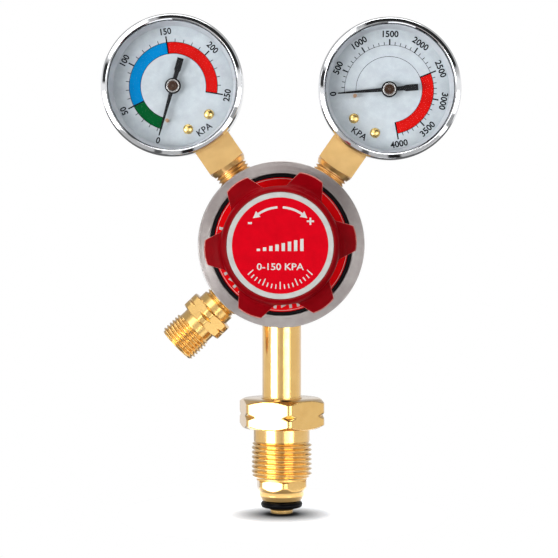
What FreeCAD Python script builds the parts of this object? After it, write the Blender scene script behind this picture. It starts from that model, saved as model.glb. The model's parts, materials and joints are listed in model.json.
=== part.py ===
import FreeCAD, Part
import math
import os

# Acetylene cylinder regulator, single stage, millimetres.
# +Z runs up the inlet stem, the knob faces -Y, and all ports lie in the plane Y = 0.
# The origin is on the stem's axis, at the lower edge of the nose's cylindrical wall.

Vector = FreeCAD.Vector

# ---- driving dimensions ----------------------------------------------------------------------

CENTRE_HEIGHT = 102.7           # knob axis above the origin

# Inlet stem. The union nut carries the 5/8 inch, 14 per inch, left-hand pipe thread.
NOSE_RADIUS = 4.4
NOSE_TOP = 1.5
INLET_O_RING_SECTION = 2.4
INLET_O_RING_HEIGHT = 3.45
GROOVE_RADIUS = 5.6
COLLAR_RADIUS = 8.66
COLLAR_TOP = 8.5
NIPPLE_FLATS = 18.0
NIPPLE_STOCK = 9.9              # radius of the round bar that the hexagon is cut from
NIPPLE_TURN = -82.5             # where one of its corners lies, degrees
NIPPLE_TOP = 12.8
TUBE_RADIUS = 7.4
TUBE_BORE = 3.5
NUT_THREAD_RADIUS = 11.4555
NUT_THREAD_PITCH = 1.814
NUT_BOTTOM = 13.8
NUT_THREAD_TOP = 27.5
NUT_NECK_RADIUS = 10.7
NUT_HEX_BOTTOM = 32.8
NUT_HEX_TOP = 43.9
NUT_FLATS = 30.0
NUT_STOCK = 16.95
NUT_NOTCH = 37.75
NUT_TURN = -79.0
NUT_CLEARANCE = 0.3

# Body and bonnet, as distances in front of the port plane.
BODY_RADIUS = 28.5
BODY_BACK = -13.0
BODY_FRONT = 13.0
BOSS_RADIUS = 8.5
BOSS_FACE = 29.4
CHAMBER_RADIUS = 20.0
CHAMBER_FLOOR = 9.5
DIAPHRAGM_FRONT = 14.0
SLIP_RING_FRONT = 14.4
FLANGE_FRONT = 15.5
LABEL_BED = 16.2
BONNET_RIM_FRONT = 16.8
RING_FRONT = 17.0
RING_BACK = 8.7
RING_RADIUS = 31.0
RING_OPENING = 26.4
LABEL_RADIUS = 25.0
TOWER_RADIUS = 16.5
TOWER_BORE = 13.5
TOWER_FRONT = 38.5
TOWER_ROOF = 33.5

# Adjusting gear.
SCREW_RADIUS = 5.0
RUNNING_CLEARANCE = 0.06
BUTTON_BACK = 31.0
BUTTON_FRONT = 33.0
PLATE_BACK = 14.0
PLATE_FRONT = 16.0
MAIN_SPRING_RADIUS = 10.2
MAIN_SPRING_WIRE = 1.8
KNOB_BACK = 27.0
KNOB_FRONT = 49.4
KNOB_ROOF = 44.5
KNOB_LOBES = 6
KNOB_FIRST_LOBE = 5.5           # degrees above +X
KNOB_TIP_RADIUS = 27.2
KNOB_VALLEY_RADIUS = 21.1
BADGE_RADIUS = 19.0
BADGE_THICKNESS = 0.5

# Outlet: 5/8 inch, 18 per inch, left-hand hose thread.
OUTLET_TURN = 226.1             # degrees clockwise from straight up
OUTLET_THREAD_RADIUS = 7.9375
OUTLET_THREAD_PITCH = 1.4111
OUTLET_NECK_RADIUS = 6.85
OUTLET_NECK_END = 33.0
OUTLET_FLATS = 18.1
OUTLET_STOCK = 9.75
OUTLET_HEX_START = 36.4
OUTLET_HEX_END = 42.8
OUTLET_NOTCH = 39.6
OUTLET_THREAD_START = 46.2
OUTLET_END = 55.6
OUTLET_BORE = 4.0

# Gauges, 50 mm size: (prefix, lean of the stem, turn of the dial, distance from the knob axis).
# Angles are degrees clockwise from straight up.
GAUGES = [
    ("low", -34.4, -35.5, 71.9),
    ("high", 34.85, 34.4, 70.65),
]
CASE_RADIUS = 25.9
CASE_WALL = 0.7
CASE_BACK = -9.0
CASE_FRONT = 12.0
BEZEL_RADIUS = 26.6
BEZEL_FRONT = 17.0
LENS_RADIUS = 25.1
LENS_BACK = 13.2
LENS_FRONT = 15.2
DIAL_RADIUS = 25.0
DIAL_BACK = 7.5
DIAL_FRONT = 8.1
DIAL_OPENING = 22.6
POINTER_BACK = 10.2
POINTER_FRONT = 10.6
POINTER_REST = 218.7            # degrees, counter-clockwise from the dial's right
STOP_PIN_ANGLE = 225.0
STOP_PIN_RADIUS = 0.7
STOP_PIN_DISTANCE = 13.1
SOCKET_WIDTH = 14.7
SOCKET_TOP = 22.5
SOCKET_SHOULDER = 35.75
SOCKET_THREAD_START = 37.25
SOCKET_END = 47.0
GAUGE_THREAD_RADIUS = 6.65
GAUGE_THREAD_PITCH = 1.337
DIAL_POSTS = [(-4.8, -16.3), (4.8, -16.3)]

# Gauge movement: a toothed sector turns the pointer's pinion eight times as fast.
TOOTH_MODULE = 0.3
PINION_TEETH = 8
SECTOR_TEETH = 64
PINION_RADIUS = TOOTH_MODULE * PINION_TEETH / 2
SECTOR_RADIUS = TOOTH_MODULE * SECTOR_TEETH / 2
SECTOR_PIVOT = -(PINION_RADIUS + SECTOR_RADIUS)
SECTOR_ARM = 9.0
SECTOR_ARM_ANGLE = 163.5
BOURDON_RADIUS = 19.2
BOURDON_START = -62.0
BOURDON_END = 235.0


# ---- helpers ---------------------------------------------------------------------------------

def disc(radius, start, end, x=0.0, y=0.0):
    return Part.makeCylinder(radius, end - start, Vector(x, y, start))


def ring(outer, inner, start, end):
    return disc(outer, start, end).cut(disc(inner, start - 1, end + 1))


def turned(profile):
    """Solid of revolution about Z from a closed outline of (distance along Z, radius)."""
    points = [Vector(radius, 0, along) for along, radius in profile]
    face = Part.Face(Part.makePolygon(points + points[:1]))
    return face.revolve(Vector(0, 0, 0), Vector(0, 0, 1), 360)


def block(x_range, y_range, z_range):
    size = [high - low for low, high in (x_range, y_range, z_range)]
    return Part.makeBox(*size, Vector(x_range[0], y_range[0], z_range[0]))


def prism(outline, start, end):
    """Upright prism on a closed outline of (x, y) points."""
    points = [Vector(x, y, start) for x, y in outline]
    face = Part.Face(Part.makePolygon(points + points[:1]))
    return face.extrude(Vector(0, 0, end - start))


def polar(radius, degrees):
    return radius * math.cos(math.radians(degrees)), radius * math.sin(math.radians(degrees))


def hexagonal_bar(flats, start, end, turn):
    """Plain hexagonal bar; a corner lies at angle turn."""
    return prism([polar(flats / math.sqrt(3), turn + 60 * side) for side in range(6)], start, end)


def hexagon(flats, start, end, turn=0.0, stock=None):
    """Hexagon with a 30 degree turned chamfer at both ends, cut from round stock of a given radius."""
    stock = stock or flats / math.sqrt(3)
    face_radius = 0.97 * flats / 2
    slope = (stock - face_radius) * math.tan(math.radians(30))
    envelope = turned([
        (start, 0), (start, face_radius), (start + slope, stock),
        (end - slope, stock), (end, face_radius), (end, 0),
    ])
    return hexagonal_bar(flats, start, end, turn).common(envelope)


def corner_notch(stock, middle, depth):
    """V groove that only reaches a hexagon's corners: the mark of a left-hand thread."""
    bottom = stock - depth
    reach = stock + 1
    half = reach - bottom
    return turned([(middle, bottom), (middle - half, reach), (middle + half, reach)])


def thread_outline(radius, pitch, start, end):
    """Outline points of a screw thread as ridges: flat crests, 55 to 60 degree flanks, chamfered ends."""
    crest = 0.16 * pitch
    depth = 0.62 * pitch
    flank = 0.36 * pitch
    outline = [(start, radius - depth)]
    ridges = int((end - start - 2 * flank - crest) / pitch) + 1
    spare = (end - start) - ((ridges - 1) * pitch + crest + 2 * flank)
    for ridge in range(ridges):
        foot = start + spare / 2 + ridge * pitch
        outline.append((foot, radius - depth))
        outline.append((foot + flank, radius))
        outline.append((foot + flank + crest, radius))
        outline.append((foot + 2 * flank + crest, radius - depth))
    outline.append((end, radius - depth))
    return outline


def coil_spring(mean_radius, wire, start, end, turns):
    """Helical compression spring whose wire just touches two planes."""
    height = end - start - wire
    path = Part.makeHelix(height / turns, height, mean_radius)
    rise = height / turns / (2 * math.pi * mean_radius)
    section = Part.Wire([Part.makeCircle(wire / 2, Vector(mean_radius, 0, 0), Vector(0, 1, rise))])
    coil = Part.Wire(path.Edges).makePipeShell([section], True, True)
    coil.translate(Vector(0, 0, start + wire / 2))
    return coil


def facing_front(shape, lean=0.0, distance=0.0):
    """Put a shape that was drawn facing the viewer (x right, y up, z forward) in the row's frame."""
    placed = shape.copy()
    placed.rotate(Vector(0, 0, 0), Vector(1, 0, 0), 90)
    placed.rotate(Vector(0, 0, 0), Vector(0, 1, 0), lean)
    angle = math.radians(lean)
    placed.translate(Vector(distance * math.sin(angle), 0, CENTRE_HEIGHT + distance * math.cos(angle)))
    return placed


def along_port(shape, turn):
    """Put a shape that was drawn along +Z on a port's axis, turned clockwise from straight up."""
    placed = shape.copy()
    placed.rotate(Vector(0, 0, 0), Vector(0, 1, 0), turn)
    placed.translate(Vector(0, 0, CENTRE_HEIGHT))
    return placed


def save(node, shape):
    shape.exportStep("parts/" + node + ".step")


# ---- body and its passages -------------------------------------------------------------------

def make_body():
    shell = facing_front(turned([
        (BODY_BACK, 0), (BODY_BACK, 21.0), (BODY_BACK + 5.0, BODY_RADIUS),
        (BODY_FRONT, BODY_RADIUS), (BODY_FRONT, 0),
    ]))
    ports = [lean for _, lean, _, _ in GAUGES] + [OUTLET_TURN, 180.0]
    for turn in ports:
        shell = shell.fuse(along_port(disc(BOSS_RADIUS, 20, BOSS_FACE), turn))
    chambers = disc(CHAMBER_RADIUS, CHAMBER_FLOOR, BODY_FRONT + 1)
    chambers = chambers.fuse(disc(6.0, 1.0, CHAMBER_FLOOR + 1))
    chambers = chambers.fuse(disc(7.5, -9.0, 2.0))
    chambers = chambers.fuse(disc(9.0, BODY_BACK - 1, -8.0))
    shell = shell.cut(facing_front(chambers))
    for name, lean, _, distance in GAUGES:
        shell = shell.cut(along_port(disc(GAUGE_THREAD_RADIUS, distance - SOCKET_END, 32), lean))
        inner_end = 5.0 if name == "high" else 14.5
        shell = shell.cut(along_port(disc(1.5, inner_end, 25), lean))
        if name == "low":
            shell = shell.cut(axial_drilling(16.0, lean, 1.5))
    shell = shell.cut(along_port(disc(OUTLET_NECK_RADIUS, 25.0, 32), OUTLET_TURN))
    shell = shell.cut(along_port(disc(3.0, 14.0, 26), OUTLET_TURN))
    shell = shell.cut(axial_drilling(16.5, OUTLET_TURN, 2.5))
    shell = shell.cut(along_port(disc(TUBE_RADIUS, 18.0, 32), 180.0))
    shell = shell.cut(along_port(disc(TUBE_BORE, 5.0, 19), 180.0))
    return shell.removeSplitter()


def axial_drilling(distance, turn, radius):
    """Hole from a port's passage forward into the low-pressure chamber."""
    angle = math.radians(turn)
    x, y = distance * math.sin(angle), distance * math.cos(angle)
    return facing_front(disc(radius, 0, CHAMBER_FLOOR + 0.5, x, y))


def make_bonnet():
    """Black bonnet: clamping flange, rim, label bed and the spring tower with its threaded roof."""
    shell = turned([
        (SLIP_RING_FRONT, TOWER_BORE), (SLIP_RING_FRONT, BODY_RADIUS - 0.1),
        (FLANGE_FRONT, BODY_RADIUS - 0.1), (FLANGE_FRONT, RING_OPENING - 0.1),
        (BONNET_RIM_FRONT, RING_OPENING - 0.1), (BONNET_RIM_FRONT, LABEL_RADIUS + 0.05),
        (LABEL_BED, LABEL_RADIUS + 0.05), (LABEL_BED, TOWER_RADIUS),
        (TOWER_FRONT - 1.0, TOWER_RADIUS), (TOWER_FRONT, TOWER_RADIUS - 1.0),
        (TOWER_FRONT, SCREW_RADIUS), (TOWER_ROOF, SCREW_RADIUS), (TOWER_ROOF, TOWER_BORE),
    ])
    return facing_front(shell)


def make_bonnet_ring():
    edge = 0.35
    return facing_front(turned([
        (RING_BACK, BODY_RADIUS), (RING_BACK, RING_RADIUS - edge), (RING_BACK + edge, RING_RADIUS),
        (RING_FRONT - edge, RING_RADIUS), (RING_FRONT, RING_RADIUS - edge),
        (RING_FRONT, RING_OPENING + 0.2), (RING_FRONT - 0.2, RING_OPENING),
        (FLANGE_FRONT, RING_OPENING), (FLANGE_FRONT, BODY_RADIUS),
    ]))


def make_rear_cap():
    """Hexagonal cap that closes the high-pressure chamber and guides the poppet's stem."""
    head = hexagon(20.0, -19.0, BODY_BACK)
    plug = disc(9.0, BODY_BACK, -10.0).fuse(disc(7.4, -10.0, -8.6))
    groove = ring(9.0, 7.4, -11.0, -10.0)
    guide = disc(1.5 + RUNNING_CLEARANCE, -15.0, -8.0)
    return facing_front(head.fuse(plug).cut(groove).cut(guide).removeSplitter())


def make_front_stack():
    save("body_forging", make_body())
    save("bonnet", make_bonnet())
    save("bonnet_ring", make_bonnet_ring())
    save("bonnet_label", facing_front(ring(LABEL_RADIUS, TOWER_RADIUS, LABEL_BED, LABEL_BED + 0.3)))
    save("slip_ring", facing_front(ring(BODY_RADIUS - 0.1, CHAMBER_RADIUS, DIAPHRAGM_FRONT, SLIP_RING_FRONT)))
    save("diaphragm", facing_front(ring(BODY_RADIUS - 0.1, 2.4, BODY_FRONT, DIAPHRAGM_FRONT)))
    nozzle = hexagon(12.0, CHAMBER_FLOOR, 11.0).fuse(disc(6.0, 2.0, CHAMBER_FLOOR))
    nozzle = nozzle.fuse(disc(2.6, 1.2, 2.0)).cut(disc(1.6, 0, 12))
    save("seat_nozzle", facing_front(nozzle))
    save("rear_cap", make_rear_cap())
    save("rear_cap_o_ring", facing_front(Part.makeTorus(8.4, 0.5, Vector(0, 0, -10.5))))


# ---- valve train -----------------------------------------------------------------------------

def make_valve_train():
    plate = disc(12.5, PLATE_BACK, PLATE_FRONT).fuse(disc(9.0, PLATE_FRONT, PLATE_FRONT + 1.2))
    plate = plate.fuse(disc(2.0, BODY_FRONT, PLATE_BACK))
    save("diaphragm_plate", facing_front(plate))
    save("diaphragm_washer", facing_front(disc(6.0, 12.2, BODY_FRONT)))
    save("valve_pin", facing_front(disc(0.9, 1.2, 12.2)))
    save("poppet_seat", facing_front(disc(3.2, 0.4, 1.2)))
    poppet = disc(4.2, -3.6, 0.4).fuse(disc(1.5, -12.0, -3.6))
    save("poppet", facing_front(poppet))
    save("valve_spring", facing_front(coil_spring(2.6, 0.6, -8.6, -3.6, 4)))


# ---- adjusting knob, screw and main spring ---------------------------------------------------

def knob_outline():
    """Six blunt lobes with flanks that lean 21 degrees to each lobe's own axis, and flat valleys."""
    outline = []
    for lobe in range(KNOB_LOBES):
        middle = KNOB_FIRST_LOBE + lobe * 360 / KNOB_LOBES
        outline.append(polar(21.5, middle - 18.8))
        outline.append(polar(KNOB_TIP_RADIUS - 0.3, middle - 9.8))
        outline.append(polar(KNOB_TIP_RADIUS + 0.2, middle))
        outline.append(polar(KNOB_TIP_RADIUS - 0.3, middle + 9.8))
        outline.append(polar(21.5, middle + 18.8))
    return outline


def make_knob():
    grip = prism(knob_outline(), KNOB_BACK, KNOB_FRONT)
    upright = [edge for edge in grip.Edges if abs(edge.BoundBox.ZLength - (KNOB_FRONT - KNOB_BACK)) < 0.01]
    grip = grip.makeFillet(0.9, upright)
    tip = KNOB_TIP_RADIUS + 1
    envelope = turned([
        (KNOB_BACK, 0), (KNOB_BACK, tip), (42.2, tip), (43.0, KNOB_TIP_RADIUS - 0.6),
        (44.6, 22.4), (45.4, KNOB_VALLEY_RADIUS + 0.2), (47.2, 20.6), (KNOB_FRONT - 0.6, 19.8),
        (KNOB_FRONT, BADGE_RADIUS + 0.3), (KNOB_FRONT, 0),
    ])
    knob = grip.common(envelope)
    knob = knob.cut(disc(BADGE_RADIUS + 0.05, KNOB_FRONT - BADGE_THICKNESS, KNOB_FRONT + 1))
    knob = knob.cut(disc(18.3, KNOB_BACK - 1, KNOB_ROOF))
    return knob.cut(hexagon(10.0, KNOB_ROOF, 48.0))


def make_adjuster():
    save("knob", facing_front(make_knob()))
    save("knob_badge", facing_front(disc(BADGE_RADIUS, KNOB_FRONT - BADGE_THICKNESS, KNOB_FRONT)))
    screw = hexagon(10.0, KNOB_ROOF, 48.0)
    screw = screw.fuse(disc(SCREW_RADIUS - RUNNING_CLEARANCE, BUTTON_FRONT + 1, KNOB_ROOF))
    screw = screw.fuse(turned([
        (BUTTON_FRONT, 0), (BUTTON_FRONT, 2.5), (BUTTON_FRONT + 1, 4.0), (BUTTON_FRONT + 1, 0),
    ]))
    save("adjusting_screw", facing_front(screw))
    button = disc(12.4, BUTTON_BACK, BUTTON_FRONT).fuse(disc(8.8, BUTTON_BACK - 1.4, BUTTON_BACK))
    save("spring_button", facing_front(button))
    spring = coil_spring(MAIN_SPRING_RADIUS, MAIN_SPRING_WIRE, PLATE_FRONT, BUTTON_BACK, 3.5)
    save("main_spring", facing_front(spring))


# ---- inlet stem ------------------------------------------------------------------------------

def make_inlet_nipple():
    groove = INLET_O_RING_HEIGHT + INLET_O_RING_SECTION / 2
    lip = INLET_O_RING_HEIGHT - INLET_O_RING_SECTION / 2
    nose = turned([
        (-0.35, 0), (-0.35, 3.8), (0, NOSE_RADIUS), (NOSE_TOP, NOSE_RADIUS), (1.9, 5.5), (lip, 5.9),
        (lip, GROOVE_RADIUS), (groove, GROOVE_RADIUS), (groove, 7.2), (5.1, 7.6),
        (6.9, COLLAR_RADIUS), (COLLAR_TOP, COLLAR_RADIUS), (COLLAR_TOP, 0),
    ])
    envelope = turned([
        (COLLAR_TOP, 0), (COLLAR_TOP, COLLAR_RADIUS), (10.3, NIPPLE_STOCK),
        (NIPPLE_TOP - 0.3, NIPPLE_STOCK), (NIPPLE_TOP, 9.4), (NIPPLE_TOP, 0),
    ])
    nipple = nose.fuse(hexagonal_bar(NIPPLE_FLATS, COLLAR_TOP, NIPPLE_TOP, NIPPLE_TURN).common(envelope))
    nipple = nipple.cut(disc(1.5, -1, 5)).cut(disc(3.3, 3.4, 10)).cut(disc(TUBE_RADIUS, 9.4, 20))
    return nipple.removeSplitter()


def make_union_nut():
    """Loose nut: outside pipe thread, plain neck, and a hexagon notched for a left-hand thread."""
    ridges = thread_outline(NUT_THREAD_RADIUS, NUT_THREAD_PITCH, NUT_BOTTOM, NUT_THREAD_TOP)
    shank = turned([(NUT_BOTTOM, 0)] + ridges + [(NUT_THREAD_TOP, 0)])
    neck = disc(NUT_NECK_RADIUS, NUT_THREAD_TOP, NUT_HEX_BOTTOM)
    hexagonal = hexagon(NUT_FLATS, NUT_HEX_BOTTOM, NUT_HEX_TOP, NUT_TURN, NUT_STOCK)
    hexagonal = hexagonal.cut(corner_notch(NUT_STOCK, NUT_NOTCH, 1.1))
    nut = shank.fuse(neck).fuse(hexagonal)
    return nut.cut(disc(TUBE_RADIUS + NUT_CLEARANCE, 10, 50)).removeSplitter()


def make_stem():
    save("inlet_nipple", make_inlet_nipple())
    o_ring_radius = GROOVE_RADIUS + INLET_O_RING_SECTION / 2
    section_centre = Vector(0, 0, INLET_O_RING_HEIGHT)
    save("inlet_o_ring", Part.makeTorus(o_ring_radius, INLET_O_RING_SECTION / 2, section_centre))
    save("inlet_filter", disc(3.3, 3.4, 9.4))
    save("inlet_tube", ring(TUBE_RADIUS, TUBE_BORE, 9.4, CENTRE_HEIGHT - 18.0))
    save("inlet_nut", make_union_nut())
    save("nut_washer", ring(9.6, TUBE_RADIUS + NUT_CLEARANCE, NIPPLE_TOP, NUT_BOTTOM))


# ---- outlet ----------------------------------------------------------------------------------

def make_outlet():
    neck = thread_outline(OUTLET_NECK_RADIUS, GAUGE_THREAD_PITCH, 25.0, OUTLET_NECK_END)
    mouth = thread_outline(OUTLET_THREAD_RADIUS, OUTLET_THREAD_PITCH, OUTLET_THREAD_START, OUTLET_END)
    fitting = turned([(25.0, 0)] + neck + [(OUTLET_NECK_END, 0)])
    fitting = fitting.fuse(disc(7.05, OUTLET_NECK_END, OUTLET_HEX_START))
    hexagonal = hexagon(OUTLET_FLATS, OUTLET_HEX_START, OUTLET_HEX_END, -90.0, OUTLET_STOCK)
    fitting = fitting.fuse(hexagonal.cut(corner_notch(OUTLET_STOCK, OUTLET_NOTCH, 0.6)))
    fitting = fitting.fuse(disc(7.1, OUTLET_HEX_END, OUTLET_THREAD_START))
    fitting = fitting.fuse(turned([(OUTLET_THREAD_START, 0)] + mouth + [(OUTLET_END, 0)]))
    passage = disc(3.0, 20, 50).fuse(disc(OUTLET_BORE, 48.0, OUTLET_END + 1))
    save("outlet_fitting", along_port(fitting.cut(passage).removeSplitter(), OUTLET_TURN))


# ---- gauges ----------------------------------------------------------------------------------

def gear_outline(radius, teeth, first, count, closing):
    """Outline of count teeth from angle first, then the closing points, for gear or sector."""
    root, tip = radius - 0.4, radius + 0.26
    outline = []
    for tooth in range(count):
        middle = first + tooth * 360 / teeth
        for reach, half_width in ((root, -0.25), (tip, -0.1), (tip, 0.1), (root, 0.25)):
            outline.append(polar(reach, middle + math.degrees(half_width / reach)))
    return outline + closing


def make_case():
    slot = SOCKET_WIDTH / 2
    cup = turned([
        (CASE_BACK, 0), (CASE_BACK, CASE_RADIUS - 1.2), (CASE_BACK + 0.4, CASE_RADIUS - 0.4),
        (CASE_BACK + 1.2, CASE_RADIUS), (CASE_FRONT, CASE_RADIUS),
        (CASE_FRONT, CASE_RADIUS - CASE_WALL), (CASE_BACK + 1.2, CASE_RADIUS - CASE_WALL),
        (CASE_BACK + CASE_WALL, CASE_RADIUS - 1.9), (CASE_BACK + CASE_WALL, 0),
    ])
    return cup.cut(block((-slot - 0.8, slot + 0.8), (-30, -20), (-slot, slot)))


def make_bezel():
    return turned([
        (8.6, CASE_RADIUS), (8.6, BEZEL_RADIUS - 0.2), (9.2, BEZEL_RADIUS), (14.6, BEZEL_RADIUS),
        (15.8, BEZEL_RADIUS - 0.25), (16.45, BEZEL_RADIUS - 0.7), (BEZEL_FRONT, BEZEL_RADIUS - 2.0),
        (BEZEL_FRONT - 0.1, BEZEL_RADIUS - 2.3), (16.3, 23.95), (LENS_FRONT, 23.8),
        (LENS_FRONT, LENS_RADIUS), (CASE_FRONT, LENS_RADIUS), (CASE_FRONT, CASE_RADIUS),
    ])


def make_dial():
    plate = disc(DIAL_RADIUS, DIAL_BACK, DIAL_FRONT).cut(disc(1.6, DIAL_BACK - 1, DIAL_FRONT + 1))
    for x, y in DIAL_POSTS:
        plate = plate.cut(disc(1.1, DIAL_BACK - 1, DIAL_FRONT + 1, x, y))
    return plate


def make_dial_screws():
    screws = []
    for x, y in DIAL_POSTS:
        head = turned([(DIAL_FRONT, 0), (DIAL_FRONT, 1.9), (8.6, 1.75), (9.0, 1.3), (9.2, 0.6), (9.2, 0)])
        slot = block((-2, 2), (-0.2, 0.2), (8.8, 10))
        screw = head.fuse(disc(1.1, 4.5, DIAL_FRONT)).cut(slot)
        screw.translate(Vector(x, y, 0))
        screws.append(screw)
    return Part.makeCompound(screws)


def make_socket(twist):
    """Square brass stem: chamfered end, short cone, pipe thread, and the block for the movement.

    The inner block and the dial's posts follow the dial, which is twisted a little on the stem.
    """
    half = SOCKET_WIDTH / 2
    bar = block((-half, half), (-half, half), (SOCKET_TOP, SOCKET_SHOULDER))
    envelope = turned([
        (SOCKET_TOP, 0), (SOCKET_TOP, 11), (SOCKET_SHOULDER - 0.7, 11), (SOCKET_SHOULDER, half),
        (SOCKET_SHOULDER, 0),
    ])
    neck = turned([
        (SOCKET_SHOULDER, 0), (SOCKET_SHOULDER, half),
        (SOCKET_THREAD_START, GAUGE_THREAD_RADIUS), (SOCKET_THREAD_START, 0),
    ])
    thread = thread_outline(GAUGE_THREAD_RADIUS, GAUGE_THREAD_PITCH, SOCKET_THREAD_START, SOCKET_END)
    stem = bar.common(envelope).fuse(neck)
    stem = stem.fuse(turned([(SOCKET_THREAD_START, 0)] + thread + [(SOCKET_END, 0)]))
    stem = stem.cut(disc(1.5, 18, SOCKET_END + 1))
    stem.rotate(Vector(0, 0, 0), Vector(1, 0, 0), 90)
    inner = block((-6.2, 9.6), (-SOCKET_TOP, -13.5), (-6.0, -0.8))
    inner = inner.cut(bourdon_section(2.0, 7.0, BOURDON_START, BOURDON_START + 20))
    for x, y in DIAL_POSTS:
        post = disc(1.8, -0.8, DIAL_BACK, x, y).cut(disc(1.1, 4.5, DIAL_BACK + 1, x, y))
        inner = inner.fuse(post)
    inner.rotate(Vector(0, 0, 0), Vector(0, 0, 1), -twist)
    return stem.fuse(inner).removeSplitter()


def bourdon_section(thickness, width, start, end):
    """Part of a flat tube bent to a circle about the gauge's axis, between two angles."""
    low = BOURDON_RADIUS - thickness / 2
    face = Part.Face(Part.makePolygon([
        Vector(low, 0, -1.5 - width / 2), Vector(low + thickness, 0, -1.5 - width / 2),
        Vector(low + thickness, 0, -1.5 + width / 2), Vector(low, 0, -1.5 + width / 2),
        Vector(low, 0, -1.5 - width / 2),
    ]))
    bent = face.revolve(Vector(0, 0, 0), Vector(0, 0, 1), end - start)
    bent.rotate(Vector(0, 0, 0), Vector(0, 0, 1), start)
    return bent


def make_bourdon_tube():
    tube = bourdon_section(1.8, 6.0, BOURDON_START, BOURDON_END)
    tube = tube.cut(bourdon_section(0.9, 5.1, BOURDON_START - 1, BOURDON_END - 6))
    x, y = polar(BOURDON_RADIUS, BOURDON_END - 2)
    return tube.fuse(disc(0.8, 1.4, 2.3, x, y))


def make_movement_frame():
    """Front and back plates on three pillars, with plain bearings for the two arbors."""
    frame = None
    for start, end in ((-0.8, 0.0), (4.2, 5.0)):
        plate = block((-5.0, 5.0), (-14.4, 3.4), (start, end))
        frame = plate if frame is None else frame.fuse(plate)
    for x, y in ((-3.8, 2.2), (3.8, 2.2), (3.6, -13.2)):
        frame = frame.fuse(disc(0.9, 0.0, 4.2, x, y))
    for y, arbor in ((0.0, 0.5), (SECTOR_PIVOT, 0.6)):
        frame = frame.cut(disc(arbor + RUNNING_CLEARANCE, -2, 6, 0, y))
    return frame.removeSplitter()


def make_pinion_shaft():
    teeth = gear_outline(PINION_RADIUS, PINION_TEETH, -90 + 180 / PINION_TEETH, PINION_TEETH, [])
    shaft = disc(0.5, -0.7, 11.7).fuse(prism(teeth, 1.2, 3.0))
    return shaft.fuse(disc(0.9, 5.1, 7.0))


def make_sector_gear():
    first = 90 - 6 * 360 / SECTOR_TEETH
    teeth = gear_outline(SECTOR_RADIUS, SECTOR_TEETH, first, 8, [(0, 1.6), (-1.2, 0), (1.2, -1.2)])
    gear = prism(teeth, 1.6, 2.4).fuse(disc(1.9, 1.6, 2.4)).fuse(disc(0.6, -0.7, 4.9))
    pin_x, pin_y = polar(SECTOR_ARM, SECTOR_ARM_ANGLE)
    arm = block((0, SECTOR_ARM), (-0.9, 0.9), (1.6, 2.4))
    arm.rotate(Vector(0, 0, 0), Vector(0, 0, 1), SECTOR_ARM_ANGLE)
    gear = gear.fuse(arm).fuse(disc(0.9, 1.6, 2.4, pin_x, pin_y)).fuse(disc(0.45, 2.4, 3.6, pin_x, pin_y))
    gear.translate(Vector(0, SECTOR_PIVOT, 0))
    return gear.removeSplitter()


def make_tip_link():
    """Flat link that hangs on the sector's arm and reaches in front of the tube's closed tip."""
    arm_x, arm_y = polar(SECTOR_ARM, SECTOR_ARM_ANGLE)
    arm_y += SECTOR_PIVOT
    tip_x, tip_y = polar(BOURDON_RADIUS, BOURDON_END - 2)
    length = math.hypot(tip_x - arm_x, tip_y - arm_y)
    link = block((0, length), (-0.7, 0.7), (2.8, 3.3))
    link = link.fuse(disc(1.1, 2.8, 3.3)).fuse(disc(1.1, 2.8, 3.3, length, 0))
    link = link.cut(disc(0.45 + RUNNING_CLEARANCE, 2, 4)).cut(disc(0.5, 2, 4, length, 0))
    link.rotate(Vector(0, 0, 0), Vector(0, 0, 1), math.degrees(math.atan2(tip_y - arm_y, tip_x - arm_x)))
    link.translate(Vector(arm_x, arm_y, 0))
    return link


def make_pointer():
    blade = [(2.0, -0.75), (19.0, -0.22), (19.5, 0.0), (19.0, 0.22), (2.0, 0.75)]
    tail = [
        (-2.0, 0.75), (-5.0, 0.85), (-6.0, 1.15), (-10.8, 1.15),
        (-10.8, -1.15), (-6.0, -1.15), (-5.0, -0.85), (-2.0, -0.75),
    ]
    pointer = prism(blade, POINTER_BACK, POINTER_FRONT).fuse(prism(tail, POINTER_BACK, POINTER_FRONT))
    pointer = pointer.fuse(disc(3.0, POINTER_BACK, POINTER_FRONT + 0.2)).cut(disc(1.2, 9, 12))
    pointer.rotate(Vector(0, 0, 0), Vector(0, 0, 1), POINTER_REST)
    return pointer.removeSplitter()


def make_pointer_boss():
    return turned([
        (9.2, 0.5), (9.2, 1.2), (10.8, 1.2), (10.8, 2.5), (11.2, 2.5),
        (11.4, 2.2), (11.3, 1.75), (11.5, 1.4), (11.6, 0.5),
    ])


def make_stop_pin():
    x, y = polar(STOP_PIN_DISTANCE, STOP_PIN_ANGLE)
    return disc(STOP_PIN_RADIUS, DIAL_FRONT, 11.6, x, y)


def make_spacer_ring():
    """Grey ring between dial and lens; its inner wall opens towards the lens."""
    return turned([
        (DIAL_FRONT, DIAL_OPENING), (DIAL_FRONT, LENS_RADIUS), (LENS_BACK, LENS_RADIUS), (LENS_BACK, 23.8),
    ])


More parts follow.
